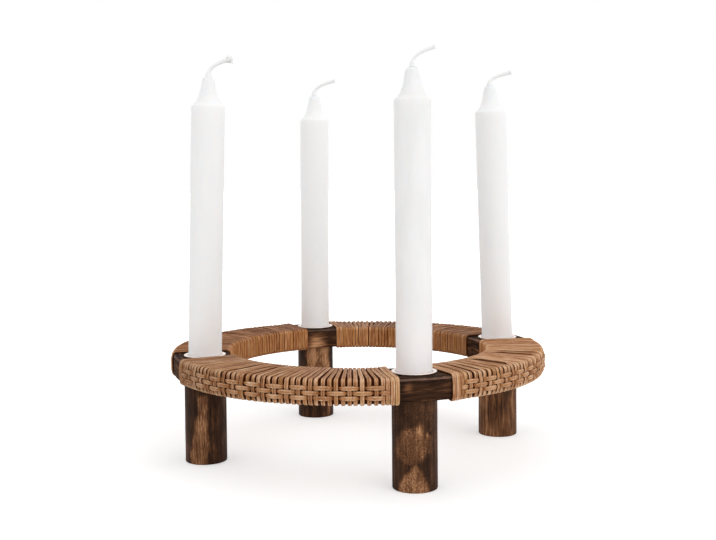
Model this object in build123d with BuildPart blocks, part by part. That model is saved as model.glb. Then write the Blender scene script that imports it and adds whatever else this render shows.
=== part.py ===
from build123d import *
import os
from math import asin, cos, degrees, dist, radians, sin, tan

# Advent candle holder: a flat wooden ring on four round legs, wrapped in cane between the legs,
# with a crown candle in a loose metal cup over each leg.
# Millimetres. The origin is on the floor under the middle of the ring, +Z is up, and the front leg is at -Y.

# Legs and ring
leg_circle_radius = 107.0
leg_diameter = 27.5
leg_height = 55.7
foot_chamfer = 0.8
ring_outer_reach = 19.4  # from the leg circle out to the bare wood's face
ring_inner_reach = 17.7  # from the leg circle in to the bare wood's face
ring_thickness = 14.3
ring_edge_radius = 1.6
socket_floor = 5.7  # wood left between a cup and the leg under it

# Screws that hold the legs
screw_head_diameter = 8.0
screw_head_angle = 90.0  # the full angle of the countersunk head, in degrees
screw_shank_diameter = 4.0
screw_length = 30.0
screw_tip_length = 4.0
screw_clearance = 0.1
drive_slot_length = 4.6
drive_slot_width = 0.9
drive_slot_depth = 1.1

# Cane: one winding strand and three weavers in each stretch between two legs
cane_thickness = 0.8
cane_fit = 0.05  # air between the cane and the wood, and between the cane and the weavers
turn_count = 24
turn_gap = 0.6  # between neighbouring turns on the inside of the ring
bare_margin = 0.15  # bare wood left on each side of the leg and of the cup's socket
weaver_width = 2.6
weaver_thickness = 0.7
weaver_gap = 0.4  # between neighbouring rows
weaver_edge_radius = 0.25
weave_drop = 0.35  # the middle row lies this far below the middle of the ring

# Cups
cup_wall = 0.7
cup_candle_clearance = 0.4
cup_socket_clearance = 0.3
cup_seat = 0.05  # air under the cup's floor
flange_clearance = 0.15  # between the flange and the ends of the cane
flange_gap = 0.3  # between the flange and the bare wood under it
flange_edge_radius = 0.2

# Candles and wicks
candle_diameter = 22.0
candle_length = 190.0  # the shortest of the four
base_chamfer = 0.6
tip_height = 19.3
shoulder_inset = 2.4  # the shoulder narrows by this much on each side
shoulder_rise = 1.9
shoulder_radius = 0.7
tip_waist_inset = 5.55  # the hollow of the tip, halfway up it
tip_end_radius = 3.7
wick_diameter = 1.8
wick_clearance = 0.03
wick_knee_rise = 4.8  # from the tip's end up to the bend
wick_bend_radius = 4.0
wick_direction = -18.3  # every free end points this way, in degrees from +X

# The legs' places round the ring, and each wick's free end: how far it reaches sideways and rises
leg_angles = {"front": -90.0, "right": 0.0, "back": 90.0, "left": 180.0}
wick_ends = {"front": (13.9, 11.5), "right": (15.9, 8.5), "back": (16.3, 11.4), "left": (15.5, 12.0)}
# How much longer than the shortest each candle is
candle_extras = {"front": 0.0, "right": 0.6, "back": 0.0, "left": 1.7}
# How far each candle leans in its loose cup, in degrees, towards its wick's free end
candle_leans = {"front": 0.0, "right": -1.5, "back": 0.4, "left": 1.6}
# Each wrapped stretch is named for the two legs that it joins, and starts after the first of them
stretch_starts = {"front_right": -90.0, "back_right": 0.0, "back_left": 90.0, "front_left": 180.0}
weaver_rows = {"upper": 1, "middle": 0, "lower": -1}

# Sizes that follow from those above
leg_radius = leg_diameter / 2
ring_outer_radius = leg_circle_radius + ring_outer_reach
ring_inner_radius = leg_circle_radius - ring_inner_reach
ring_bottom = leg_height
ring_top = ring_bottom + ring_thickness
socket_bottom = ring_bottom + socket_floor

cane_outer_radius = ring_outer_radius + cane_fit + cane_thickness
cane_inner_radius = ring_inner_radius - cane_fit - cane_thickness
cane_top = ring_top + cane_fit + cane_thickness
cane_bottom = ring_bottom - cane_fit - cane_thickness

candle_radius = candle_diameter / 2
cup_inner_radius = candle_radius + cup_candle_clearance
cup_outer_radius = cup_inner_radius + cup_wall
socket_radius = cup_outer_radius + cup_socket_clearance
cup_bottom = socket_bottom + cup_seat
candle_bottom = cup_bottom + cup_wall
flange_bottom = ring_top + flange_gap
flange_top = flange_bottom + cup_wall
cup_depth = flange_top - candle_bottom

bare_half_width = max(leg_radius, socket_radius) + bare_margin
flange_radius = bare_half_width - flange_clearance
bare_half_angle = degrees(asin(bare_half_width / leg_circle_radius))
quarter_turn = 90.0  # from each leg to the next, in degrees
turn_gap_angle = degrees(turn_gap / cane_inner_radius)
turn_pitch_angle = (quarter_turn - 2 * bare_half_angle + turn_gap_angle) / turn_count
turn_angle = turn_pitch_angle - turn_gap_angle

weaver_pitch = weaver_width + weaver_gap
weave_middle = ring_bottom + ring_thickness / 2 - weave_drop

wick_radius = wick_diameter / 2
screw_head_radius = screw_head_diameter / 2
screw_shank_radius = screw_shank_diameter / 2
screw_head_height = (screw_head_radius - screw_shank_radius) / tan(radians(screw_head_angle / 2))
screw_hole_radius = screw_shank_radius + screw_clearance
screw_bottom = socket_bottom - screw_length


def leg_point(angle, height):
    """The point on a leg's axis at this height."""
    return (leg_circle_radius * cos(radians(angle)), leg_circle_radius * sin(radians(angle)), height)


def leg_plane(angle, height):
    """A level plane centred on a leg's axis."""
    return Plane(origin=leg_point(angle, height))


def upright_plane(origin, direction):
    """A plane with its x axis level, along this direction in degrees, and its y axis straight up."""
    along = (cos(radians(direction)), sin(radians(direction)), 0)
    across = (sin(radians(direction)), -cos(radians(direction)), 0)
    return Plane(origin=origin, x_dir=along, z_dir=across)


def candle_plane(side):
    """A plane along a candle: its origin is the middle of the candle's foot, its x axis points the way of
    the wick's free end and its y axis runs up the candle. A leaning candle stands on the edge of its foot
    and crosses the cup's axis halfway down the cup."""
    lean = candle_leans[side]
    foot_rise = (candle_radius - base_chamfer) * sin(radians(abs(lean)))
    foot_shift = -cup_depth / 2 * tan(radians(lean))
    upright = upright_plane(leg_point(leg_angles[side], candle_bottom + foot_rise), wick_direction)
    foot = upright.origin + upright.x_dir * foot_shift
    return Plane(foot, upright.x_dir, upright.z_dir).rotated((0, 0, -lean))


def tip_top(side):
    """How far above its foot a candle's tip ends."""
    return candle_length + candle_extras[side]


def finish(part, name):
    """Labels a piece and writes it."""
    part.label = name
    export_step(part, f"parts/{name}.step")


os.makedirs("parts", exist_ok=True)

# The ring: a flat wooden annulus with eased edges, with a blind socket and a countersunk hole over each leg
with BuildPart() as ring_frame:
    with BuildSketch(Plane.XY.offset(ring_bottom)):
        Circle(ring_outer_radius)
        Circle(ring_inner_radius, mode=Mode.SUBTRACT)
    extrude(amount=ring_thickness)
    fillet(ring_frame.edges().filter_by(GeomType.CIRCLE), radius=ring_edge_radius)
    with BuildSketch(Plane.XY.offset(socket_bottom)):
        with PolarLocations(leg_circle_radius, len(leg_angles)):
            Circle(socket_radius)
    extrude(amount=ring_top - socket_bottom, mode=Mode.SUBTRACT)
    with Locations(Plane.XY.offset(socket_bottom)):
        with PolarLocations(leg_circle_radius, len(leg_angles)):
            countersink_radius = screw_head_radius + screw_clearance
            CounterSinkHole(screw_hole_radius, countersink_radius, socket_floor, screw_head_angle)
finish(ring_frame.part, "ring_frame")

# The legs: round posts, eased at the foot and drilled from the top for the screw
for side, angle in leg_angles.items():
    with BuildPart() as leg:
        with BuildSketch(leg_plane(angle, 0)):
            Circle(leg_radius)
        extrude(amount=leg_height)
        chamfer(leg.edges().filter_by(GeomType.CIRCLE).sort_by(Axis.Z)[0], length=foot_chamfer)
        with BuildSketch(leg_plane(angle, leg_height)):
            Circle(screw_hole_radius)
        extrude(amount=screw_bottom - screw_clearance - leg_height, mode=Mode.SUBTRACT)
    finish(leg.part, f"leg_{side}")

# The screws: countersunk, driven down through the floor of each socket into the leg
with BuildPart() as screw:
    with BuildSketch(Plane.XZ):
        with BuildLine():
            Polyline(
                (0, socket_bottom),
                (screw_head_radius, socket_bottom),
                (screw_shank_radius, socket_bottom - screw_head_height),
                (screw_shank_radius, screw_bottom + screw_tip_length),
                (0, screw_bottom),
                close=True,
            )
        make_face()
    revolve(axis=Axis.Z)
    with BuildSketch(Plane.XY.offset(socket_bottom)):
        Rectangle(drive_slot_length, drive_slot_width)
        Rectangle(drive_slot_width, drive_slot_length)
    extrude(amount=-drive_slot_depth, mode=Mode.SUBTRACT)

with BuildPart() as leg_screws:
    with PolarLocations(leg_circle_radius, len(leg_angles)):
        add(screw.part)
finish(leg_screws.part, "leg_screws")

# The cups: thin pressed metal, with a flat flange over the bare wood between the ends of the cane
for side, angle in leg_angles.items():
    with BuildPart() as cup:
        with BuildSketch(upright_plane(leg_point(angle, 0), 0)) as cup_section:
            with BuildLine():
                Polyline(
                    (0, cup_bottom),
                    (cup_outer_radius, cup_bottom),
                    (cup_outer_radius, flange_bottom),
                    (flange_radius, flange_bottom),
                    (flange_radius, flange_top),
                    (cup_inner_radius, flange_top),
                    (cup_inner_radius, candle_bottom),
                    (0, candle_bottom),
                    close=True,
                )
            make_face()
            fillet(cup_section.vertices().group_by(Axis.X)[-1], radius=flange_edge_radius)
        revolve(axis=Axis(leg_point(angle, 0), (0, 0, 1)))
    finish(cup.part, f"candle_cup_{side}")

# The candles: straight, with a rounded shoulder and a hollow-sided tip, bored for the wick
for side in leg_angles:
    along_candle = candle_plane(side)
    end_height = tip_top(side)
    shoulder_bottom = end_height - tip_height
    with BuildPart() as candle:
        with BuildSketch(along_candle) as candle_section:
            tip_start = (candle_radius - shoulder_inset, shoulder_bottom + shoulder_rise)
            tip_waist = (candle_radius - tip_waist_inset, end_height - tip_height / 2)
            tip_end = (tip_end_radius, end_height)
            with BuildLine():
                Polyline(
                    (wick_radius + wick_clearance, end_height),
                    (wick_radius + wick_clearance, 0),
                    (candle_radius - base_chamfer, 0),
                    (candle_radius, base_chamfer),
                    (candle_radius, shoulder_bottom),
                    tip_start,
                )
                ThreePointArc(tip_start, tip_waist, tip_end)
                Line(tip_end, (wick_radius + wick_clearance, end_height))
            make_face()
            shoulder = candle_section.vertices().group_by(Axis.X)[-1].sort_by(Axis.Y)[-1]
            fillet(shoulder, radius=shoulder_radius)
        revolve(axis=Axis(along_candle.origin, along_candle.y_dir))
    finish(candle.part, f"candle_{side}")

# The wicks: a cotton cord down the middle of each candle, with its free end bent over to one side
for side in leg_angles:
    reach, rise = wick_ends[side]
    along_candle = candle_plane(side)
    with BuildPart() as wick:
        with BuildLine(along_candle) as wick_line:
            FilletPolyline(
                (0, 0),
                (0, tip_top(side) + wick_knee_rise),
                (reach, tip_top(side) + rise),
                radius=wick_bend_radius,
            )
        with BuildSketch(Plane(along_candle.origin, z_dir=along_candle.y_dir)):
            Circle(wick_radius)
        sweep(path=wick_line.wires()[0])
    finish(wick.part, f"wick_{side}")

# The winding: one flat strand that goes up the inside of the ring, over the top and down the outside
# in every turn, and slants across the underside to the start of the next turn
first_turn = bare_half_angle
turn_starts = [first_turn + turn * turn_pitch_angle for turn in range(turn_count)]
step_top = cane_bottom + cane_thickness
cane_corner_radius = ring_edge_radius + cane_thickness
underside_reach = cane_outer_radius - cane_inner_radius


def polar(radius, angle):
    """A point in the plane from its radius and its angle in degrees."""
    return (radius * cos(radians(angle)), radius * sin(radians(angle)))


def step_edge(angle):
    """One edge of a slanting step, from outside the ring on this turn to inside it on the next."""
    outer = Vector(*polar(cane_outer_radius, angle))
    inner = Vector(*polar(cane_inner_radius, angle + turn_pitch_angle))
    beyond = (outer - inner) * (cane_thickness / underside_reach)
    return outer + beyond, inner - beyond


with BuildPart() as winding:
    with BuildSketch(*[upright_plane((0, 0, 0), start) for start in turn_starts]):
        with BuildLine():
            Polyline(
                (cane_inner_radius + cane_thickness, step_top),
                (cane_inner_radius, step_top),
                (cane_inner_radius, cane_top - cane_corner_radius),
            )
            RadiusArc(
                (cane_inner_radius, cane_top - cane_corner_radius),
                (cane_inner_radius + cane_corner_radius, cane_top),
                cane_corner_radius,
            )
            Line(
                (cane_inner_radius + cane_corner_radius, cane_top),
                (cane_outer_radius - cane_corner_radius, cane_top),
            )
            RadiusArc(
                (cane_outer_radius - cane_corner_radius, cane_top),
                (cane_outer_radius, cane_top - cane_corner_radius),
                cane_corner_radius,
            )
            Polyline(
                (cane_outer_radius, cane_top - cane_corner_radius),
                (cane_outer_radius, step_top),
                (cane_outer_radius - cane_thickness, step_top),
                (cane_outer_radius - cane_thickness, cane_top - cane_thickness),
                (cane_inner_radius + cane_thickness, cane_top - cane_thickness),
                (cane_inner_radius + cane_thickness, step_top),
            )
        make_face()
    revolve(axis=Axis.Z, revolution_arc=turn_angle)
    with BuildSketch(Plane.XY.offset(cane_bottom)) as underside:
        for turn in range(-1, turn_count):
            start = first_turn + turn * turn_pitch_angle
            before_outer, before_inner = step_edge(start)
            after_outer, after_inner = step_edge(start + turn_angle)
            with BuildLine():
                Polyline(before_outer, after_outer, after_inner, before_inner, close=True)
            make_face()
        with BuildSketch(mode=Mode.PRIVATE) as stretch:
            with BuildLine():
                last_edge = quarter_turn - bare_half_angle
                Line(polar(cane_inner_radius, first_turn), polar(cane_outer_radius, first_turn))
                CenterArc((0, 0), cane_outer_radius, first_turn, last_edge - first_turn)
                Line(polar(cane_outer_radius, last_edge), polar(cane_inner_radius, last_edge))
                CenterArc((0, 0), cane_inner_radius, first_turn, last_edge - first_turn)
            make_face()
        add(stretch.sketch, mode=Mode.INTERSECT)
    extrude(amount=cane_thickness)

for stretch_name, start in stretch_starts.items():
    with BuildPart(Plane.XY.rotated((0, 0, start))) as cane_wrap:
        add(winding.part)
    finish(cane_wrap.part, f"cane_wrap_{stretch_name}")


edge_samples = 24


def turn_edge(start):
    """Points along one edge of a turn: up the inside, over the top, down the outside and across below."""
    samples = [step / edge_samples for step in range(edge_samples + 1)]
    heights = [cane_bottom + (cane_top - cane_bottom) * share for share in samples]
    radii = [cane_inner_radius + underside_reach * share for share in samples]
    points = [(*polar(cane_inner_radius, start), height) for height in heights]
    points += [(*polar(radius, start), cane_top) for radius in radii]
    points += [(*polar(cane_outer_radius, start), height) for height in heights]
    outer, inner = polar(cane_outer_radius, start), polar(cane_inner_radius, start + turn_pitch_angle)
    for share in samples:
        x, y = [a + (b - a) * share for a, b in zip(outer, inner)]
        points.append((x, y, cane_bottom))
    return points


least_gap = min(
    dist(here, there)
    for start in turn_starts[:-1]
    for here in turn_edge(start + turn_angle)
    for there in turn_edge(start + turn_pitch_angle)
)
print(f"least gap between turns of the cane winding: {least_gap:.2f} mm")

# The weavers: three flat strands round the outside of each winding, between its end turns
weaver_start = first_turn + turn_pitch_angle
weaver_turns = turn_count - 2
weaver_span = (weaver_turns - 1) * turn_pitch_angle + turn_angle
for stretch_name, start in stretch_starts.items():
    for row, step in weaver_rows.items():
        row_middle = weave_middle + step * weaver_pitch
        with BuildPart() as weaver:
            with BuildSketch(upright_plane((0, 0, 0), start + weaver_start)) as weaver_section:
                with Locations((cane_outer_radius + cane_fit, row_middle)):
                    Rectangle(weaver_thickness, weaver_width, align=(Align.MIN, Align.CENTER))
                fillet(weaver_section.vertices().group_by(Axis.X)[-1], radius=weaver_edge_radius)
            revolve(axis=Axis.Z, revolution_arc=weaver_span)
        finish(weaver.part, f"cane_weaver_{stretch_name}_{row}")
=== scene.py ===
import math
import random

import bpy
import numpy as np
from mathutils import Matrix, Vector, noise


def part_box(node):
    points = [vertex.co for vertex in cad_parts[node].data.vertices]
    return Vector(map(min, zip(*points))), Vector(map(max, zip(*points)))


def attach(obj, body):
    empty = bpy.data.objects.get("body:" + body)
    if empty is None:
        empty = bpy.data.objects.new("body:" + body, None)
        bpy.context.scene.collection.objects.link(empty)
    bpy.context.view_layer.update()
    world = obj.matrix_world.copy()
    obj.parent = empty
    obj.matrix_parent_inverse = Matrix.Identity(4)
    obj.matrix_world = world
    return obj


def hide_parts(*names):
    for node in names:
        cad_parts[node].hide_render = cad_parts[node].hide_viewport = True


# Advent candle holder: the looks of a wooden ring on four legs, wound and woven with cane,
# with a white crown candle in a metal cup over each leg. Metres, in the frame of the solids.

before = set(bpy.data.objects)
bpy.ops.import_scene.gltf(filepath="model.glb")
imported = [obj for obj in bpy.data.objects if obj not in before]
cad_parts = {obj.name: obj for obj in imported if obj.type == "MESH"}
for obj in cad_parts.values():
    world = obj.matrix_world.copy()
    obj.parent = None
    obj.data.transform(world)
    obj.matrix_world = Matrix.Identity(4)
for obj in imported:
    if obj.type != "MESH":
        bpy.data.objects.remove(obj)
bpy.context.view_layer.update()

MM = 0.001

# Sizes read from the frame
ring_low, ring_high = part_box("ring_frame")
leg_low, leg_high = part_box("leg_front")
cup_low, cup_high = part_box("candle_cup_front")
candle_low, candle_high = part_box("candle_front")
ring_outer_radius = ring_high.x
ring_bottom = ring_low.z
ring_top = ring_high.z
leg_radius = (leg_high.x - leg_low.x) / 2
leg_height = leg_high.z
leg_circle_radius = -(leg_high.y + leg_low.y) / 2
cup_bottom = cup_low.z
flange_top = cup_high.z
flange_radius = (cup_high.x - cup_low.x) / 2
candle_radius = (candle_high.x - candle_low.x) / 2
candle_bottom = candle_low.z
candle_length = candle_high.z - candle_low.z

# Sizes that the frame's boxes don't give
ring_width = 37.1 * MM
ring_edge_radius = 1.6 * MM
bare_half_angle = math.radians(7.465)
ring_inner_radius = ring_outer_radius - ring_width

leg_angles = {"front": -90.0, "right": 0.0, "back": 90.0, "left": 180.0}
stretch_starts = {"front_right": -90.0, "back_right": 0.0, "back_left": 90.0, "front_left": 180.0}
weaver_rows = {"upper": 1, "middle": 0, "lower": -1}

# The photograph's view: where the camera stands, and its picture
picture_width = 716
camera_distance = 0.72743
camera_height = 0.18422
camera_bearing = math.radians(18.337)  # clockwise from the front leg, seen from above
camera_heading = math.radians(18.408)
camera_pitch = math.radians(-2.624)
camera_roll = math.radians(-0.554)
focal_pixels = 1051.38
picture_shift = -40  # pixels
sensor_width = 36.0
camera_place = Vector((
    -camera_distance * math.sin(camera_bearing),
    -camera_distance * math.cos(camera_bearing),
    camera_height,
))


def leg_place(side):
    """The foot of a leg's axis."""
    angle = math.radians(leg_angles[side])
    return Vector((leg_circle_radius * math.cos(angle), leg_circle_radius * math.sin(angle), 0))


def smoothstep(low, high, value):
    """Rises smoothly from 0 at low to 1 at high."""
    share = np.clip((value - low) / (high - low), 0, 1)
    return share * share * (3 - 2 * share)


# Meshes


def make_piece(name, vertices, faces, material, attributes=None):
    """A smooth-shaded mesh object with one material and any per-vertex numbers that it needs."""
    mesh = bpy.data.meshes.new(name)
    mesh.from_pydata([tuple(vertex) for vertex in vertices], [], faces)
    mesh.validate()
    mesh.polygons.foreach_set("use_smooth", [True] * len(mesh.polygons))
    for label, values in (attributes or {}).items():
        attribute = mesh.attributes.new(label, "FLOAT", "POINT")
        attribute.data.foreach_set("value", np.asarray(values, np.float32))
    mesh.materials.append(material)
    piece = bpy.data.objects.new(name, mesh)
    bpy.context.scene.collection.objects.link(piece)
    return piece


def tube_faces(rings, sides, first=0):
    """Faces of a closed tube whose vertices are rings of this many sides, with both ends capped."""
    faces = []
    for ring in range(rings - 1):
        low = first + ring * sides
        high = low + sides
        for side in range(sides):
            after = (side + 1) % sides
            faces.append((low + side, low + after, high + after, high + side))
    faces.append(tuple(reversed(range(first, first + sides))))
    faces.append(tuple(range(first + (rings - 1) * sides, first + rings * sides)))
    return faces


def lathe(profile, segments, placement, wobble=None, closed=False):
    """Turns (radius, height) points about the placement's upright axis and returns vertices and faces.
    An open profile starts and ends on the axis; wobble gives a radius change at each angle and height."""
    following = profile[1:] + profile[:1]
    area = sum(a[0] * b[1] - b[0] * a[1] for a, b in zip(profile, following))
    if area < 0:
        profile = profile[::-1]
    angles = np.arange(segments) * 2 * math.pi / segments
    vertices = []
    rings = []
    for radius, height in profile:
        first = len(vertices)
        if radius < 1e-9:
            vertices.append(placement @ Vector((0, 0, height)))
            rings.append([first] * segments)
            continue
        for angle in angles:
            reach = radius + (wobble(angle, height) if wobble else 0)
            vertices.append(placement @ Vector((reach * math.cos(angle), reach * math.sin(angle), height)))
        rings.append(list(range(first, first + segments)))
    faces = []
    for low, high in zip(rings, rings[1:] + rings[:1] if closed else rings[1:]):
        for step in range(segments):
            after = (step + 1) % segments
            corners = [low[step], low[after], high[after], high[step]]
            faces.append(tuple(dict.fromkeys(corners)))
    return vertices, faces


def arc(centre, radius, start, end, steps):
    """(radius, height) points along a round corner, angles in degrees."""
    angles = [math.radians(start + (end - start) * step / steps) for step in range(steps + 1)]
    return [(centre[0] + radius * math.cos(a), centre[1] + radius * math.sin(a)) for a in angles]


def run(start, end, steps):
    """Evenly spaced points from after start up to end."""
    return [
        tuple(a + (b - a) * step / steps for a, b in zip(start, end))
        for step in range(1, steps + 1)
    ]


def shares_of(steps):
    """Even shares of a way, from after its start (0) up to its end (1)."""
    return [step / steps for step in range(1, steps + 1)]


# Material nodes


def srgb(red, green, blue):
    """A colour as it shows on a screen, 0 to 255, as linear light."""
    def linear(value):
        share = value / 255
        return share / 12.92 if share <= 0.04045 else ((share + 0.055) / 1.055) ** 2.4
    return (linear(red), linear(green), linear(blue), 1.0)


def feed(tree, socket, value):
    """Links a socket's source to it, or sets its plain value."""
    if isinstance(value, bpy.types.NodeSocket):
        tree.links.new(value, socket)
    else:
        socket.default_value = value


def add_node(tree, kind, inputs=None, **settings):
    """A node with its settings and inputs filled in."""
    node = tree.nodes.new(kind)
    for name, value in settings.items():
        setattr(node, name, value)
    for name, value in (inputs or {}).items():
        feed(tree, node.inputs[name], value)
    return node


def math_node(tree, operation, first, second=0.0, third=0.0):
    node = add_node(tree, "ShaderNodeMath", {0: first, 1: second, 2: third}, operation=operation)
    return node.outputs[0]


def map_range(tree, value, low, high, to_low=0.0, to_high=1.0):
    """Turns low..high into to_low..to_high smoothly, and holds it there beyond."""
    inputs = {"Value": value, 1: low, 2: high, 3: to_low, 4: to_high}
    node = add_node(tree, "ShaderNodeMapRange", inputs, interpolation_type="SMOOTHSTEP")
    return node.outputs[0]


def about_middle(tree, value, strength):
    """A noise turned into a swing about 0, this many times as strong."""
    return math_node(tree, "MULTIPLY", math_node(tree, "SUBTRACT", value, 0.5), strength)


def total(tree, first, *others):
    """The sum of several values."""
    for other in others:
        first = math_node(tree, "ADD", first, other)
    return first


def noise_node(tree, vector, scale, detail=3.0, roughness=0.5, distortion=0.0):
    inputs = {
        "Vector": vector,
        "Scale": scale,
        "Detail": detail,
        "Roughness": roughness,
        "Distortion": distortion,
    }
    return add_node(tree, "ShaderNodeTexNoise", inputs).outputs[0]


def colour_ramp(tree, factor, stops):
    """A colour ramp through (place, colour) stops."""
    node = add_node(tree, "ShaderNodeValToRGB", {"Fac": factor})
    elements = node.color_ramp.elements
    while len(elements) < len(stops):
        elements.new(1.0)
    for element, (place, colour) in zip(elements, stops):
        element.position = place
        element.color = colour
    return node.outputs[0]


def mix_colour(tree, factor, first, second, blend="MIX"):
    inputs = {0: factor, 6: first, 7: second}
    return add_node(tree, "ShaderNodeMix", inputs, data_type="RGBA", blend_type=blend).outputs[2]


def attribute_node(tree, label):
    return add_node(tree, "ShaderNodeAttribute", attribute_name=label).outputs["Fac"]


def combine(tree, x, y, z=0.0):
    return add_node(tree, "ShaderNodeCombineXYZ", {0: x, 1: y, 2: z}).outputs[0]


def stretched(tree, vector, scale, shift=(0.0, 0.0, 0.0)):
    """Coordinates scaled along each axis, so that a noise runs along the grain."""
    inputs = {"Vector": vector, "Scale": scale, "Location": shift}
    return add_node(tree, "ShaderNodeMapping", inputs).outputs[0]


def object_point(tree):
    return add_node(tree, "ShaderNodeTexCoord").outputs["Object"]


def bump(tree, height, strength, distance):
    inputs = {"Height": height, "Strength": strength, "Distance": distance}
    return add_node(tree, "ShaderNodeBump", inputs).outputs[0]


def new_material(name, **uniform):
    """A material with a Principled shader, whose uniform inputs are set on its own sockets."""
    material = bpy.data.materials.new(name)
    material.use_nodes = True
    tree = material.node_tree
    shader = tree.nodes["Principled BSDF"]
    for label, value in uniform.items():
        shader.inputs[label.replace("_", " ").title().replace("Ior", "IOR")].default_value = value
    return material, tree, shader


def cane_material():
    """Split cane: long fibres, every turn a little different, with painted shade where it is shaded, at
    some stretches' starts and on some tops, and painted highlights on bends and float middles.
    """
    material, tree, shader = new_material("cane", specular_ior_level=0.05)
    along = attribute_node(tree, "along")
    across = attribute_node(tree, "across")
    tint = attribute_node(tree, "tint")
    shade = attribute_node(tree, "shade")
    painted_light = attribute_node(tree, "painted_light")
    painted_dimness = attribute_node(tree, "painted_dimness")
    offset = math_node(tree, "MULTIPLY", tint, 37.0)
    fibre_across = math_node(tree, "ADD", across, offset)
    fibre_along = math_node(tree, "MULTIPLY", along, 14.0)
    fibre_place = combine(tree, fibre_across, fibre_along)
    fibres = noise_node(tree, fibre_place, scale=4.6, detail=4.0, roughness=0.62)
    from_middle = math_node(tree, "ABSOLUTE", across)
    mottle_along = math_node(tree, "MULTIPLY", along, 130.0)
    mottle_place = combine(tree, math_node(tree, "MULTIPLY", across, 0.9), mottle_along, offset)
    mottle = noise_node(tree, mottle_place, scale=1.0, detail=3.0, roughness=0.6)
    tint_swing = map_range(tree, shade, 0.0, 0.5, 0.28, 0.14)
    tone = total(
        tree,
        0.555,
        about_middle(tree, fibres, 1.9),
        about_middle(tree, tint, tint_swing),
        about_middle(tree, mottle, 0.55),
        map_range(tree, from_middle, 0.1, 0.55, -0.10, 0.05),
        # Painted light: paler on the bends and float middles as a painted highlight, darker on some tops as
        # painted shade
        math_node(tree, "MULTIPLY", painted_light, 0.17),
    )
    colour = colour_ramp(tree, tone, [
        (0.12, srgb(98, 54, 28)),
        (0.40, srgb(160, 108, 71)),
        (0.58, srgb(187, 135, 96)),
        (0.84, srgb(228, 188, 152)),
    ])
    hue_place = combine(tree, offset, math_node(tree, "MULTIPLY", along, 12.0))
    hue = noise_node(tree, hue_place, scale=1.3, detail=1.0)
    yellowed = mix_colour(tree, map_range(tree, hue, 0.50, 0.74, 0.0, 0.5), colour, srgb(186, 138, 80))
    # Painted shade in the gaps: each strip darkens towards its edges
    edge = map_range(tree, from_middle, 0.86, 1.0, 0.0, 0.75)
    edged = mix_colour(tree, edge, yellowed, srgb(82, 40, 16))
    shading = colour_ramp(tree, shade, [
        (0.0, srgb(255, 255, 255)),
        (0.5, srgb(247, 229, 203)),
        (1.0, srgb(162, 122, 90)),
    ])
    shaded = mix_colour(tree, 1.0, edged, shading, "MULTIPLY")
    # Painted shade: the cane darkens towards a dark brown at the start of some stretches
    feed(tree, shader.inputs["Base Color"], mix_colour(tree, painted_dimness, shaded, srgb(60, 40, 28)))
    feed(tree, shader.inputs["Roughness"], map_range(tree, fibres, 0.3, 0.7, 0.58, 0.40))
    feed(tree, shader.inputs["Normal"], bump(tree, fibres, strength=0.8, distance=0.22 * MM))
    return material


def burnt_stops():
    """Scorched wood, from charred to bare."""
    return [
        (0.10, srgb(32, 18, 11)),
        (0.32, srgb(66, 41, 26)),
        (0.56, srgb(114, 75, 48)),
        (0.90, srgb(194, 143, 103)),
    ]


def leg_material(name, seed, fleck):
    """Scorched wood with upright grain; the figure attribute says where the paler wood shows.
    A larger fleck makes shorter marks along the grain."""
    warm_gloss = (1.0, 0.80, 0.66, 1.0)
    material, tree, shader = new_material(name, specular_ior_level=0.16, specular_tint=warm_gloss)
    point = object_point(tree)
    shift = (seed * 0.37, seed * 0.21, seed * 0.53)
    grain_place = stretched(tree, point, (1.0, 1.0, fleck), shift)
    grain = noise_node(tree, grain_place, scale=1500.0, detail=3.0, roughness=0.6, distortion=0.6)
    streak_place = stretched(tree, point, (1.0, 1.0, 0.05), shift)
    streak = noise_node(tree, streak_place, scale=420.0, detail=4.0, roughness=0.6, distortion=0.8)
    cloud_place = stretched(tree, point, (1.0, 1.0, 0.5), shift)
    clouds = noise_node(tree, cloud_place, scale=130.0, detail=2.0)
    figure = attribute_node(tree, "figure")
    grain_strength = math_node(tree, "MULTIPLY_ADD", figure, 0.7, 0.6)
    tone = total(
        tree,
        0.26,
        math_node(tree, "MULTIPLY", figure, 0.52),
        about_middle(tree, grain, grain_strength),
        about_middle(tree, streak, 0.7),
        about_middle(tree, clouds, 0.5),
    )
    feed(tree, shader.inputs["Base Color"], colour_ramp(tree, tone, burnt_stops()))
    feed(tree, shader.inputs["Roughness"], map_range(tree, streak, 0.3, 0.7, 0.66, 0.50))
    feed(tree, shader.inputs["Normal"], bump(tree, grain, strength=0.4, distance=0.15 * MM))
    return material


def spot(tree, point, place, radius):
    """1 at a place on the surface, fading to 0 at this radius."""
    between = add_node(tree, "ShaderNodeVectorMath", {0: point, 1: place}, operation="DISTANCE")
    return map_range(tree, between.outputs["Value"], radius, 0.0)


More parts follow.
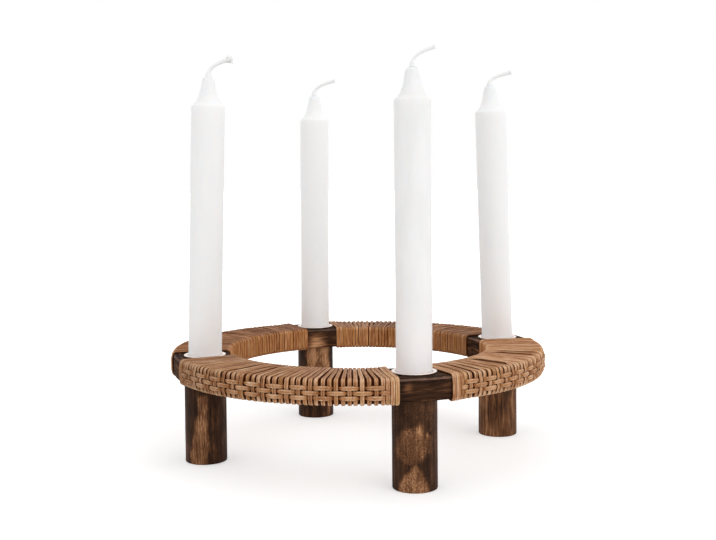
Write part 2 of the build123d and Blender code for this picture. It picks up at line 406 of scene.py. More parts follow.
def ring_material():
    """Scorched wood with the grain running round the ring, paler in two places, with a painted highlight on
    its eased edges and painted shade making it darkest under the cane.
    """
    material, tree, shader = new_material("ring_wood", specular_ior_level=0.0, coat_roughness=0.42)
    point = object_point(tree)
    parts = add_node(tree, "ShaderNodeSeparateXYZ", {0: point}).outputs
    angle = math_node(tree, "ARCTAN2", parts[1], parts[0])
    around = math_node(tree, "MULTIPLY", angle, leg_circle_radius)
    level = combine(tree, parts[0], parts[1])
    outward = add_node(tree, "ShaderNodeVectorMath", {0: level}, operation="LENGTH").outputs["Value"]
    unrolled = combine(tree, math_node(tree, "MULTIPLY", around, 0.10), outward, parts[2])
    grain = noise_node(tree, unrolled, scale=700.0, detail=4.0, roughness=0.6, distortion=0.5)
    streak = noise_node(tree, unrolled, scale=230.0, detail=3.0, roughness=0.55, distortion=0.9)
    clouds = noise_node(tree, point, scale=60.0, detail=2.0)
    tone = total(
        tree,
        0.24,
        about_middle(tree, grain, 1.0),
        about_middle(tree, streak, 0.8),
        about_middle(tree, clouds, 0.3),
    )
    pale_places = {
        (-11.5 * MM, -126.0 * MM, 64.5 * MM): (5.0 * MM, 0.34),
        (-4.0 * MM, 89.5 * MM, 59.5 * MM): (12.0 * MM, 0.60),
    }
    for place, (radius, strength) in pale_places.items():
        paler = math_node(tree, "MULTIPLY", spot(tree, point, place, radius), strength)
        tone = math_node(tree, "ADD", tone, paler)
    facing = add_node(tree, "ShaderNodeNewGeometry").outputs["Normal"]
    upward_share = add_node(tree, "ShaderNodeSeparateXYZ", {0: facing}).outputs[2]
    # Painted highlight: the eased edges, which face half up, are painted paler
    eased = math_node(tree, "MULTIPLY", upward_share, math_node(tree, "SUBTRACT", 1.0, upward_share))
    on_edge = map_range(tree, eased, 0.06, 0.22)
    painted_edge_highlight = math_node(tree, "MULTIPLY", on_edge, map_range(tree, streak, 0.3, 0.6, 0.15, 0.62))
    bare = mix_colour(tree, painted_edge_highlight, colour_ramp(tree, tone, burnt_stops()), srgb(140, 110, 94))
    quarter = math_node(tree, "WRAP", angle, math.pi / 4, -math.pi / 4)
    from_leg = math_node(tree, "ABSOLUTE", quarter)
    covered = map_range(tree, from_leg, bare_half_angle, bare_half_angle + 0.03)
    # Painted shade: the wood under the cane is darkened to a near black brown
    feed(tree, shader.inputs["Base Color"], mix_colour(tree, covered, bare, srgb(60, 26, 8)))
    feed(tree, shader.inputs["Coat Weight"], map_range(tree, covered, 0.0, 1.0, 0.12, 0.0))
    feed(tree, shader.inputs["Roughness"], map_range(tree, streak, 0.3, 0.7, 0.62, 0.46))
    feed(tree, shader.inputs["Normal"], bump(tree, grain, strength=0.3, distance=0.15 * MM))
    return material


def wax_material():
    """White candle wax: faintly clouded, a little warmer at the foot, and painted brighter on some candles
    as painted light.
    """
    material, tree, shader = new_material(
        "wax", specular_ior_level=0.06, subsurface_weight=0.7, subsurface_scale=0.006
    )
    shader.inputs["Subsurface Radius"].default_value = (1.0, 0.9, 0.8)
    point = object_point(tree)
    clouds = noise_node(tree, stretched(tree, point, (1.0, 1.0, 0.25)), scale=130.0, detail=3.0)
    height = add_node(tree, "ShaderNodeSeparateXYZ", {0: point}).outputs[2]
    warmth = map_range(tree, height, candle_bottom + 0.09, candle_bottom, 0.0, 0.8)
    cloudy = mix_colour(tree, map_range(tree, clouds, 0.35, 0.65), srgb(242, 242, 241), srgb(246, 246, 246))
    # Painted light: some candles' wax is painted whiter
    painted_brightness = mix_colour(tree, attribute_node(tree, "painted_brightness"), cloudy, srgb(254, 254, 253))
    feed(tree, shader.inputs["Base Color"], mix_colour(tree, warmth, painted_brightness, srgb(247, 241, 240)))
    feed(tree, shader.inputs["Roughness"], map_range(tree, clouds, 0.3, 0.7, 0.34, 0.46))
    feed(tree, shader.inputs["Normal"], bump(tree, clouds, strength=0.05, distance=0.2 * MM))
    return material


def cotton_material():
    """Waxed white cotton with fine threads."""
    material, tree, shader = new_material("wick_cotton", specular_ior_level=0.3, roughness=0.7)
    threads = noise_node(tree, object_point(tree), scale=1800.0, detail=3.0, roughness=0.6)
    colour = colour_ramp(tree, threads, [(0.3, srgb(241, 241, 241)), (0.7, srgb(251, 251, 251))])
    feed(tree, shader.inputs["Base Color"], colour)
    feed(tree, shader.inputs["Normal"], bump(tree, threads, strength=0.2, distance=0.1 * MM))
    return material


def cup_material():
    """Pale pressed metal with a soft brushed finish."""
    material, tree, shader = new_material("cup_metal", metallic=0.85)
    point = object_point(tree)
    brushing_place = stretched(tree, point, (1.0, 1.0, 14.0))
    brushing = noise_node(tree, brushing_place, scale=420.0, detail=3.0, roughness=0.6)
    colour = colour_ramp(tree, brushing, [(0.3, srgb(240, 225, 216)), (0.7, srgb(253, 243, 236))])
    feed(tree, shader.inputs["Base Color"], colour)
    feed(tree, shader.inputs["Roughness"], map_range(tree, brushing, 0.3, 0.7, 0.30, 0.42))
    feed(tree, shader.inputs["Normal"], bump(tree, brushing, strength=0.08, distance=0.05 * MM))
    return material


def steel_material():
    """Zinc-plated steel."""
    material, tree, shader = new_material("screw_steel", metallic=1.0)
    cloud = noise_node(tree, object_point(tree), scale=900.0, detail=3.0)
    colour = colour_ramp(tree, cloud, [(0.3, srgb(150, 150, 148)), (0.7, srgb(196, 194, 188))])
    feed(tree, shader.inputs["Base Color"], colour)
    feed(tree, shader.inputs["Roughness"], map_range(tree, cloud, 0.3, 0.7, 0.28, 0.45))
    return material


# The ring and its screws keep their solids

ring_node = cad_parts["ring_frame"]
ring_node.data.materials.clear()
ring_node.data.materials.append(ring_material())
screw_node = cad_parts["leg_screws"]
screw_node.data.materials.clear()
screw_node.data.materials.append(steel_material())


# Legs

pilot_radius = 2.1 * MM
pilot_bottom = 31.3 * MM
foot_ease = 0.8 * MM
leg_top_ease = 0.3 * MM
leg_segments = 144
leg_rows = 100
leg_unevenness = 0.09 * MM

# Where the paler wood shows on each leg, as seen from the camera, in millimetres from the foot's middle.
# A band has rows of (height, left edge, right edge), how soft those edges are and how pale it is.
pale_bands = {
    "front": [
        ([(-1, -20, 20), (60, -20, 20)], 1.0, 0.06),
        (
            [(16.5, -3, -1), (19, -9, 3), (24, -14, 10), (31, -14, 9), (36.5, -9, 6), (41, 2.2, 4)],
            3.4,
            0.41,
        ),
        ([(-5, -11, 9.5), (0, -11, 9.5), (5, -10, 8), (10, -6.5, 5.5), (17.5, 0.2, 1.6)], 1.5, 0.62),
    ],
    "left": [
        (
            [
                (-5, -12, 1.6), (9, -11.5, 1.6), (19, -9, 1.6),
                (30, -6.8, 1.8), (37, -5.5, 1.2), (46, -4, 0.5),
            ],
            1.0,
            0.55,
        ),
        ([(22, 3, 9), (30, 2.5, 8.5), (36, 4, 7)], 1.5, 0.16),
    ],
    "back": [
        ([(17, 0, 2), (24, -4, 6), (30, -6, 9), (41, -7.5, 12.5), (60, -7.5, 12.5)], 1.5, 0.82),
    ],
    "right": [
        ([(-8, -11, 12.5), (5, -10, 12.5), (11, -3, 12.5), (18, 8, 12)], 5.0, 0.14),
        ([(-1, -20, 20), (60, -20, 20)], 1.0, 0.42),
        # This band darkens the upper right: partly the wood's own char, partly painted shade under the ring
        ([(10, 5, 5), (24, 3, 8), (36, 0.7, 10.6), (60, 0.7, 10.6)], 4.0, -0.22),
    ],
}
# Upright streaks and spots: middle across, middle up, half width, half height, and how pale
pale_streaks = {
    "front": [(3.1, 38.0, 2.0, 4.0, 0.55), (3.5, 4.0, 5.0, 4.5, 0.28), (7.0, 48.0, 4.0, 8.0, 0.14)],
    "left": [(-3.0, 22.0, 2.2, 14.0, 0.22)],
    "back": [(-2.0, 50.0, 2.4, 12.0, 0.34), (9.0, 50.0, 1.6, 10.0, 0.22), (11.2, 6.0, 1.3, 9.0, 0.50)],
    "right": [(-8.4, 30.0, 1.1, 20.0, 0.42), (-2.8, 32.0, 0.9, 18.0, 0.42), (12.0, 30.0, 0.8, 26.0, 0.36)],
}
leg_seed_step = 2.7
leg_flecks = {"front": 0.62, "right": 0.06, "back": 0.14, "left": 0.12}
knot_place = (9.6, 35.2)
knot_radius = 0.75
knot_rim = 0.90  # how pale the wood beside the knot is
knot_dark = 1.30
# How far the edges of the paler wood wander, in millimetres
broad_wander = 1.1
fine_wander = 0.6


def band_strength(rows, softness, across, up):
    """1 inside a band, 0 outside it."""
    heights = [row[0] for row in rows]
    left = np.interp(up, heights, [row[1] for row in rows])
    right = np.interp(up, heights, [row[2] for row in rows])
    inside = smoothstep(left - softness, left + softness, across)
    inside *= smoothstep(right + softness, right - softness, across)
    inside *= smoothstep(heights[0] - softness, heights[0] + softness, up)
    return float(inside * smoothstep(heights[-1] + softness, heights[-1] - softness, up))


def figure_strength(side, across, up):
    """How much pale wood shows at a point of a leg, 0 to about 1; across and up in millimetres."""
    across += broad_wander * noise.noise(Vector((across * 0.3, up * 0.16, len(side))))
    across += fine_wander * noise.noise(Vector((across * 0.9, up * 0.5, len(side) + 5)))
    strength = 0.0
    for rows, softness, weight in pale_bands[side]:
        strength += weight * band_strength(rows, softness, across, up)
    for middle, level, width, height, weight in pale_streaks[side]:
        strength += weight * math.exp(-(((across - middle) / width) ** 2) - ((up - level) / height) ** 2)
    if side == "front":
        aside = across - knot_place[0]
        above = up - knot_place[1]
        strength += knot_rim * math.exp(-((aside + 0.9) ** 2) - ((above + 0.4) / 1.7) ** 2)
        strength -= knot_dark * math.exp(-((math.hypot(aside, above * 0.8) / knot_radius) ** 2))
    return strength


def leg_wobble(seed):
    """A turned post is never quite true."""
    def change(angle, height):
        place = Vector((math.cos(angle) * 1.5 + seed, math.sin(angle) * 1.5, height * 60))
        return leg_unevenness * noise.noise(place)
    return change


def make_leg(side, seed):
    """One post, turned with its pilot hole, its foot eased."""
    rounded_foot = arc((leg_radius - foot_ease, foot_ease), foot_ease, 0, -90, 4)
    profile = [(0, pilot_bottom), (pilot_radius, pilot_bottom), (pilot_radius, leg_height)]
    top_edge = (leg_radius, leg_height - leg_top_ease)
    profile += [(leg_radius - leg_top_ease, leg_height), top_edge]
    profile += run(top_edge, (leg_radius, foot_ease), leg_rows)[:-1]
    profile += rounded_foot + [(leg_radius * 0.5, 0), (0, 0)]
    place = leg_place(side)
    vertices, faces = lathe(profile, leg_segments, Matrix.Translation(place), leg_wobble(seed))
    facing = math.atan2(camera_place.y - place.y, camera_place.x - place.x)
    figures = []
    for x, y, z in vertices:
        turn = math.atan2(y - place.y, x - place.x) - facing
        turn = (turn + math.pi) % (2 * math.pi) - math.pi
        figures.append(figure_strength(side, turn * leg_radius / MM, z / MM))
    material = leg_material(f"leg_wood_{side}", seed, leg_flecks[side])
    piece = make_piece(f"leg_post_{side}", vertices, faces, material, {"figure": figures})
    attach(piece, "root")
    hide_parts(f"leg_{side}")


for number, side_name in enumerate(leg_angles):
    make_leg(side_name, number * leg_seed_step + 1)


# Cane

cane = cane_material()
strip_count = 46
strip_width = 2.72 * MM
strip_thickness = 1.0 * MM
strip_clearance = 0.05 * MM
packed_gap = 0.05 * MM
end_pitch = 2.78 * MM
tight_ends = 3
pair_shift = 0.32 * MM  # now and then two strips lie closer together
weaver_width = 2.6 * MM
weaver_thickness = 0.7 * MM
weaver_pitch = 3.0 * MM
weave_drop = 0.35 * MM
weaver_inset = 1.15  # each weaver starts and ends this many strips from the end strips' middles
weaver_step = 0.125  # strips
weaver_swell = 0.28 * MM  # how far it bulges between the strips that it passes under
weaver_drift = 0.16 * MM
weaver_tilt = 0.10
weave_middle = (ring_bottom + ring_top) / 2 - weave_drop
weave_repeat = 4
# Which strips the upper and lower rows pass under, counted within each repeat
weave_phases = {"front_right": 2, "back_right": 3, "back_left": 1, "front_left": 3}
unwoven_ends = 2
# The gaps in which the winding stands open right across the top, and how much wider it is there,
# in millimetres
open_gaps = {
    "front_right": dict.fromkeys(range(2, 12), 0.12) | {13: 0.45, 24: 0.25},
    "back_right": dict.fromkeys(range(8, 40, 3), 0.15),
    "back_left": dict.fromkeys(range(4, 34, 3), 0.20),
    "front_left": dict.fromkeys(range(9, 25), 0.26) | dict.fromkeys(range(25, 43), 0.12),
}
loosest_gap = 0.12 * MM
# Strips that stand up along one edge on top, in millimetres: the second edge, or the first one
# where it is minus
lifted_edges = {
    "front_right": {3: -0.6, 5: -0.5, 7: -0.7, 9: -0.5, 11: -0.5, 14: -1.3, 25: -0.9, 28: -0.6},
    "back_right": {14: -0.5, 23: -0.6},
    "back_left": {8: 0.5, 12: 0.8, 13: 0.5, 19: 0.6},
    "front_left": {12: 0.4, 15: 0.6, 18: 0.5, 20: 0.5, 22: 0.4, 35: 0.3},
}
# How much painted shade darkens each stretch on top, and how much painted shade darkens it at its start
top_shade_painted = {"front_right": 0.1, "back_right": 1.2, "back_left": 1.7, "front_left": 0.0}
start_shade_painted = {"front_right": 0.0, "back_right": 0.34, "back_left": 0.0, "front_left": 0.38}
end_rise = 0.4 * MM  # the last strips of a stretch stand this much higher than the rest
inside_shade = 0.5
underside_shade = 0.6
first_cane_seed = 40
stretch_span = math.pi / 2 - 2 * bare_half_angle
cane_outer_radius = ring_outer_radius + strip_clearance + strip_thickness

# The strip's section: shares of its half width across its face and across its underside
face_across = [1.0, 0.95, 0.84, 0.66, 0.48, 0.3, 0.14, 0.0, -0.14, -0.3, -0.48, -0.66, -0.84, -0.95, -1.0]
underside_across = [-0.9, -0.45, 0.0, 0.45, 0.9]


def strip_height(across):
    """The face of a strip: rounded edges, two low ridges and a shallow groove between them."""
    return 0.34 + 0.66 * (1 - abs(across) ** 3.4) - 0.14 * math.exp(-((across / 0.24) ** 2))


section = [(across, strip_height(across)) for across in face_across]
section += [(across, 0.0) for across in underside_across]
section_across = np.array([across for across, height in section])
section_height = np.array([height for across, height in section])


# How finely the trip round the ring's section is sampled on each face and round each corner
inner_steps = 4
corner_steps = 5
top_steps = 14
outer_steps = 20
under_corner_steps = 4
under_steps = 8


def winding_trip():
    """One trip round the ring's section, from the inner face's foot: for each sample the corner's middle
    (radius, height), the way the surface faces, and how far it is from inside (0) to outside (1) or,
    on the underside, from outside (1) to the next turn's inside (2)."""
    inner = ring_inner_radius + ring_edge_radius
    outer = ring_outer_radius - ring_edge_radius
    low = ring_bottom + ring_edge_radius
    high = ring_top - ring_edge_radius
    up = math.pi / 2
    trip = [(inner, low, math.pi, 0.0)]
    for share in shares_of(inner_steps):
        trip.append((inner, low + (high - low) * share, math.pi, 0.0))
    for share in shares_of(corner_steps):
        trip.append((inner, high, up * (2 - share), 0.0))
    for share in shares_of(top_steps):
        trip.append((inner + (outer - inner) * share, high, up, share))
    for share in shares_of(corner_steps):
        trip.append((outer, high, up * (1 - share), 1.0))
    for share in shares_of(outer_steps):
        trip.append((outer, high + (low - high) * share, 0.0, 1.0))
    for share in shares_of(under_corner_steps):
        trip.append((outer, low, -up * share, 1.0))
    for share in shares_of(under_steps):
        trip.append((outer + (inner - outer) * share, low, -up, 1 + share))
    for share in shares_of(under_corner_steps)[:-1]:
        trip.append((inner, low, -up * (1 + share), 2.0))
    return np.array(trip)


def outer_middles(chance):
    """Angles of the strips' middles on the outer face: tight at both ends, uneven between."""
    spacings = []
    for gap in range(strip_count - 1):
        tight = gap < tight_ends or gap >= strip_count - 1 - tight_ends
        spacings.append(end_pitch if tight else None)
    free = spacings.count(None)
    length = stretch_span * cane_outer_radius - strip_width
    even = (length - end_pitch * (len(spacings) - free)) / free
    uneven = np.array([even * chance.uniform(0.87, 1.13) for gap in range(free)])
    for pair in range(0, free - 1, chance.choice((5, 6, 7))):
        shift = pair_shift * chance.uniform(0.5, 1.2)
        uneven[pair] -= shift
        uneven[pair + 1] += shift
    uneven *= even * free / uneven.sum()
    fill = iter(uneven)
    widths = [gap if gap is not None else next(fill) for gap in spacings]
    places = strip_width / 2 + np.concatenate([[0], np.cumsum(widths)])
    return places / cane_outer_radius


def inner_middles(chance):
    """Angles of the strips' middles on the inner face, where they lie side by side."""
    pitch = stretch_span / strip_count
    jitter = np.array([chance.uniform(-0.12, 0.12) for strip in range(strip_count)])
    return pitch * (np.arange(strip_count) + 0.5 + jitter)


def strip_edges(middles, widths, radius):
    """The two edge angles of each strip at this radius, kept clear of its neighbours and of the ends."""
    between = (middles[1:] + middles[:-1]) / 2
    clear = packed_gap / radius
    first = np.concatenate([[0.0], between + clear])
    last = np.concatenate([between - clear, [stretch_span]])
    left = np.maximum(middles - widths / radius / 2, first)
    right = np.minimum(middles + widths / radius / 2, last)
    return left, right


def passes_over(strip, row, phase):
    """Whether a strip lies over this row of the weave."""
    if strip < unwoven_ends or strip >= strip_count - unwoven_ends:
        return True
    turn = phase if row != 0 else phase + 2
    return strip % weave_repeat == turn % weave_repeat


def from_end(strip):
    """How many strips lie between this one and the nearer end of its stretch."""
    return min(strip, strip_count - 1 - strip)


def strip_lift(strip, height, phase):
    """How far a strip stands off the wood on the outer face, to pass over the weavers beneath it."""
    over_weaver = weaver_thickness + strip_clearance
    if from_end(strip) < unwoven_ends:
        return over_weaver * smoothstep(2.4 * weaver_pitch, 1.2 * weaver_pitch, abs(height - weave_middle))
    rise = 0.0
    for row in weaver_rows.values():
        if passes_over(strip, row, phase):
            apart = abs(height - weave_middle - row * weaver_pitch) / weaver_pitch
            rise = max(rise, 0.5 + 0.5 * math.cos(math.pi * min(apart, 1.0)))
    return over_weaver * rise


def trip_edges(stretch, trip, chance, middles):
    """The edge angles of every strip at every sample of the trip."""
    inside = inner_middles(chance)
    inside_next = np.concatenate([inside[1:], [inside[-1] + stretch_span / strip_count]])
    widths = np.array([strip_width * chance.uniform(0.93, 1.05) for strip in range(strip_count)])
    bows = np.array([chance.uniform(-0.25, 0.25) * MM for strip in range(strip_count)])
    slacks = np.array([chance.uniform(0.0, loosest_gap) for gap in range(strip_count - 1)])
    for gap, width in open_gaps[stretch].items():
        slacks[gap] += width * MM
    edges = []
    for radius, height, facing, share in trip:
        surface = radius + ring_edge_radius * math.cos(facing)
        if share <= 1:
            blended = inside + (middles - inside) * share + bows / surface * math.sin(math.pi * share)
        else:
            blended = middles + (inside_next - middles) * (share - 1)
        left, right = strip_edges(blended, widths, surface)
        if share <= 1:
            right[:-1] -= slacks / surface * (1 - 0.8 * share)
            left[1:] += slacks / surface * (1 - 0.8 * share)
        edges.append((left, right))
    return edges


def edge_lift(stretch, strip, share):
    """How far each point of a strip's section stands up on top where one of its edges is lifted."""
    lift = lifted_edges[stretch].get(strip, 0.0) * MM
    along_top = smoothstep(0.05, 0.40, share) * smoothstep(1.0, 0.92, share)
    return abs(lift) * along_top * (1 + math.copysign(1, lift) * section_across) / 2


def start_shade_at(stretch, strip):
    """How much painted shade darkens the cane at a strip: most at the start of its stretch."""
    return start_shade_painted[stretch] * (1 - strip / (strip_count - 1)) ** 2


def make_wrap(stretch, start, chance, middles):
    """The winding of one stretch: one strand, turn after turn, as one mesh."""
    trip = winding_trip()
    edges = trip_edges(stretch, trip, chance, middles)
    tints = np.array([chance.random() for strip in range(strip_count)])
    sunk = np.array([chance.uniform(-0.05, 0.04) * MM for strip in range(strip_count)])
    tilts = np.array([chance.uniform(-0.12, 0.12) * MM for strip in range(strip_count)])
    phase = weave_phases[stretch]
    underside_middle = len(trip) - (under_corner_steps - 1) - under_steps // 2
    rings = []
    rows = []
    travel = 0.0
    for strip in range(-1, strip_count):
        here = max(strip, 0)
        samples = range(len(trip))
        if strip < 0:
            samples = range(underside_middle, len(trip))
        elif strip == strip_count - 1:
            samples = range(underside_middle + 1)
        raised = end_rise * smoothstep(unwoven_ends + 0.5, unwoven_ends - 1.5, from_end(here))
        for sample in samples:
            radius, height, facing, share = trip[sample]
            left, right = [edge[here] for edge in edges[sample if strip >= 0 else 0]]
            lift = strip_clearance
            slope = 0.0
            if share <= 1:
                on_face = strip_lift(here, height, phase) if share == 1 and facing == 0 else 0.0
                lift += max(raised, on_face) + sunk[here]
                slope = tilts[here] * share
            relief = 0.45 + 0.55 * min(share, 1.0)
            profile = np.where(section_height > 0, 1 - relief * (1 - section_height), 0.0)
            proud = ring_edge_radius + lift + strip_thickness * profile + slope * section_across
            proud = proud + edge_lift(stretch, strip, share)
            reach = radius + proud * math.cos(facing)
            level = height + proud * math.sin(facing)
            angle = math.radians(start) + bare_half_angle + left + (right - left) * (section_across + 1) / 2
            ring = np.stack([reach * np.cos(angle), reach * np.sin(angle), level], -1)
            if rings:
                travel += np.linalg.norm(ring.mean(0) - rings[-1].mean(0))
            rings.append(ring)
            shade = underside_shade
            painted_light = 0.0
            if share <= 1:
                shade = inside_shade * float(smoothstep(0.55, 1.0, facing / math.pi))
                # Painted highlight on the bends, and painted shade on the tops of some stretches
                painted_light = abs(math.sin(2 * facing)) - top_shade_painted[stretch] * math.sin(facing)
            rows.append((travel, tints[here], shade, painted_light, start_shade_at(stretch, here)))
    sides = len(section)
    attributes = {
        "along": np.repeat([row[0] for row in rows], sides),
        "across": np.tile(section_across, len(rows)),
        "tint": np.repeat([row[1] for row in rows], sides),
        "shade": np.repeat([row[2] for row in rows], sides),
        "painted_light": np.repeat([row[3] for row in rows], sides),
        "painted_dimness": np.repeat([row[4] for row in rows], sides),
    }
    faces = tube_faces(len(rings), sides)
    piece = make_piece(f"cane_winding_{stretch}", np.concatenate(rings), faces, cane, attributes)
    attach(piece, "root")
    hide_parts(f"cane_wrap_{stretch}")


def make_weaver(stretch, start, row_name, chance, middles):
    """One row of the weave: a strand that runs over three strips and under the fourth."""
    row = weaver_rows[row_name]
    phase = weave_phases[stretch]
    under = [strip for strip in range(strip_count) if passes_over(strip, row, phase)]
    last_place = strip_count - 1 - weaver_inset
    places = np.arange(weaver_inset, last_place + 1e-6, weaver_step)
    apart = np.abs(places[:, None] - np.array(under)[None, :]).min(1)
    over = smoothstep(0.25, 0.95, apart)
    angles = np.interp(places, np.arange(strip_count), middles) + math.radians(start) + bare_half_angle
    low = ring_outer_radius + strip_clearance
    high = cane_outer_radius + strip_clearance
    swell = weaver_swell * smoothstep(0.5, 2.0, apart)
    base = low + (high - low) * over + swell
    seed = chance.uniform(0, 50)
    drift = [weaver_drift * noise.noise(Vector((place * 0.35, seed, 0))) for place in places]
    half_widths = weaver_width / 2 * (0.64 + 0.42 * smoothstep(0.1, 1.8, apart))
    tilt = [weaver_tilt * noise.noise(Vector((place * 0.5, seed, 9))) for place in places]
    rings = []
    for sample in range(len(places)):
        across = section_across * half_widths[sample]
        reach = base[sample] + weaver_thickness * section_height + across * tilt[sample]
        level = weave_middle + row * weaver_pitch + drift[sample] + across
        angle = angles[sample]
        rings.append(np.stack([reach * math.cos(angle), reach * math.sin(angle), level], -1))
    sides = len(section)
    attributes = {
        "along": np.repeat(angles * ring_outer_radius, sides),
        "across": np.tile(section_across, len(places)),
        "tint": np.repeat(0.5 + 0.35 * np.sin(places * 0.9 + seed) * np.sin(places * 0.23 + seed), sides),
        "shade": np.repeat(smoothstep(1.1, 0.35, apart), sides),
        # Painted highlight along the middle of each float
        "painted_light": np.repeat(0.5 * smoothstep(0.7, 2.0, apart), sides),
        "painted_dimness": np.repeat(start_shade_at(stretch, places), sides),
    }
    faces = tube_faces(len(rings), sides)
    piece = make_piece(f"cane_row_{stretch}_{row_name}", np.concatenate(rings), faces, cane, attributes)
    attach(piece, "root")
    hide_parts(f"cane_weaver_{stretch}_{row_name}")


for number, (stretch_name, start_angle) in enumerate(stretch_starts.items()):
    stretch_chance = random.Random(first_cane_seed + number)
    strip_middles = outer_middles(stretch_chance)
    make_wrap(stretch_name, start_angle, stretch_chance, strip_middles)
    for row_label in weaver_rows:
        make_weaver(stretch_name, start_angle, row_label, stretch_chance, strip_middles)


# Cups, candles and wicks

cup_metal = cup_material()
wax = wax_material()
cotton = cotton_material()
cup_wall = 0.7 * MM
cup_inner_radius = candle_radius + 0.4 * MM
cup_base_radius = 0.8 * MM
cup_floor_ease = 0.4 * MM
cup_mouth_radius = 0.5 * MM
cup_neck_ease = 0.15 * MM
cup_segments = 96
flange_edge = 0.3 * MM
shoulder_inset = 2.4 * MM
shoulder_rise = 1.9 * MM
shoulder_radius = 0.7 * MM
shoulder_drop = 0.5 * MM  # the rounding starts this far below the shoulder
tip_height = 19.3 * MM
tip_end_radius = 4.25 * MM
tip_round = 3.4 * MM
tip_taper = 2.5 * MM  # how much the tip draws in evenly, apart from its flare at the shoulder
flare_sharpness = 4
wick_bore = 1.0 * MM
wick_radius = 0.9 * MM
wick_lay = 4.2 * MM  # one full twist of its strands
fray_lengths = {"front": 0.9, "right": 1.0, "back": 0.9, "left": 2.6}  # millimetres
wick_fullness = {"front": 1.0, "right": 1.2, "back": 1.25, "left": 1.25}  # some wicks hold more wax
wick_swell = {"front": 0.2, "right": 0.27, "back": 0.18, "left": 0.3}  # how much fuller each free end is
wick_direction = math.radians(-18.3)
wick_samples = 120
strand_count = 3
strand_offset = 0.40  # of the wick's radius
strand_size = 0.62  # of the wick's radius
collar_low = 1.5 * MM  # the wax round the wick's foot, below and above the tip's end
collar_high = 5.0 * MM
collar_radii = (1.9 * MM, 0.75 * MM)
collar_sides = 14
core_share = 0.8  # of the wick's radius
core_sides = 10
swell_start = 11 * MM  # from the wick's end
swell_full = 2 * MM
fewest_fibres = 18
fibres_by_length = 14
fibre_sides = 5
fibre_radii = (0.26 * MM, 0.12 * MM)
fibre_points = 6
wick_ends = {"front": (13.9, 11.5), "right": (15.9, 8.5), "back": (16.3, 11.4), "left": (15.5, 12.0)}
# How much longer than the front one each candle is
candle_extras = {"front": 0.0, "right": 0.6 * MM, "back": 0.0, "left": 1.7 * MM}
# How far each candle leans in its loose cup, in degrees, towards its wick's free end
candle_leans = {"front": 0.0, "right": -1.5, "back": 0.4, "left": 1.6}
candle_ease = 0.6 * MM
candle_segments = 72
candle_rows = 40
tip_rows = 24
candle_unevenness = 0.07 * MM
first_wick_seed = 70
candle_seed_step = 3.1
# Painted light: how much whiter each candle's wax is painted, so that some candles look more brightly lit
painted_wax_light = {"front": 0.0, "right": 0.4, "back": 0.9, "left": 0.5}
upward = Vector((0, 0, 1))
wick_way = Vector((math.cos(wick_direction), math.sin(wick_direction), 0))


def make_cup(side):
    """A pressed cup with a flat flange, its edges rounded."""
    outer = cup_inner_radius + cup_wall
    low = flange_top - cup_wall
    base_middle = (outer - cup_base_radius, cup_bottom + cup_base_radius)
    profile = [(0, cup_bottom), (outer - cup_base_radius, cup_bottom)]
    profile += arc(base_middle, cup_base_radius, -60, 0, 3)
    profile += [(outer, low - cup_neck_ease), (outer + cup_neck_ease, low)]
    profile += [(flange_radius - flange_edge, low)]
    profile += arc((flange_radius - flange_edge, low + flange_edge), flange_edge, -60, 0, 3)
    profile += arc((flange_radius - flange_edge, flange_top - flange_edge), flange_edge, 0, 90, 4)
    mouth_middle = (cup_inner_radius + cup_mouth_radius, flange_top - cup_mouth_radius)
    profile += arc(mouth_middle, cup_mouth_radius, 90, 180, 4)
    profile += [(cup_inner_radius, candle_bottom + cup_floor_ease)]
    profile += [(cup_inner_radius - cup_floor_ease, candle_bottom), (0, candle_bottom)]
    vertices, faces = lathe(profile, cup_segments, Matrix.Translation(leg_place(side)))
    piece = make_piece(f"cup_{side}", vertices, faces, cup_metal)
    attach(piece, f"{side}_cup")
    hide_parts(f"candle_cup_{side}")


def tip_top(side):
    """How far above its foot a candle's tip ends."""
    return candle_length + candle_extras[side]


def candle_profile(side):
    """A crown candle: straight, with a rounded shoulder and a hollow-sided tip."""
    shoulder = tip_top(side) - tip_height
    tip_start = candle_radius - shoulder_inset
    tip_low = shoulder + shoulder_rise
    tip_high = tip_top(side) - tip_round
    tip_flare = tip_start - tip_end_radius - tip_taper
    profile = [(wick_bore, 0), (candle_radius - candle_ease, 0), (candle_radius, candle_ease)]
    side_top = shoulder - shoulder_drop
    profile += run((candle_radius, candle_ease), (candle_radius, side_top), candle_rows)
    profile += arc((candle_radius - shoulder_radius, side_top), shoulder_radius, 15, 55, 3)
    for step in range(tip_rows + 1):
        share = step / tip_rows
        below = 1 - share
        radius = tip_end_radius + tip_taper * below + tip_flare * below ** flare_sharpness
        profile.append((radius, tip_low + (tip_high - tip_low) * share))
    profile += arc((tip_end_radius - tip_round, tip_high), tip_round, 20, 84, 8)
    profile += [(wick_bore, tip_top(side))]
    return profile


def candle_wobble(seed):
    """Poured wax is slightly uneven."""
    def change(angle, height):
        place = Vector((math.cos(angle) * 1.2 + seed, math.sin(angle) * 1.2, height * 28))
        return candle_unevenness * noise.noise(place)
    return change


def candle_placement(side):
    """Stands a candle in its cup. A leaning one rests on the edge of its foot and crosses the cup's axis
    halfway down the cup."""
    lean = math.radians(candle_leans[side])
    foot_rise = (candle_radius - candle_ease) * math.sin(abs(lean))
    foot_shift = -(flange_top - candle_bottom) / 2 * math.tan(lean)
    foot = leg_place(side) + wick_way * foot_shift + upward * (candle_bottom + foot_rise)
    return Matrix.Translation(foot) @ Matrix.Rotation(lean, 4, upward.cross(wick_way))


def make_candle(side, seed):
    profile = candle_profile(side)
    placement = candle_placement(side)
    vertices, faces = lathe(profile, candle_segments, placement, candle_wobble(seed), closed=True)
    painted_brightness = [painted_wax_light[side]] * len(vertices)
    piece = make_piece(f"wax_candle_{side}", vertices, faces, wax, {"painted_brightness": painted_brightness})
    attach(piece, f"{side}_candle")
    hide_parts(f"candle_{side}")


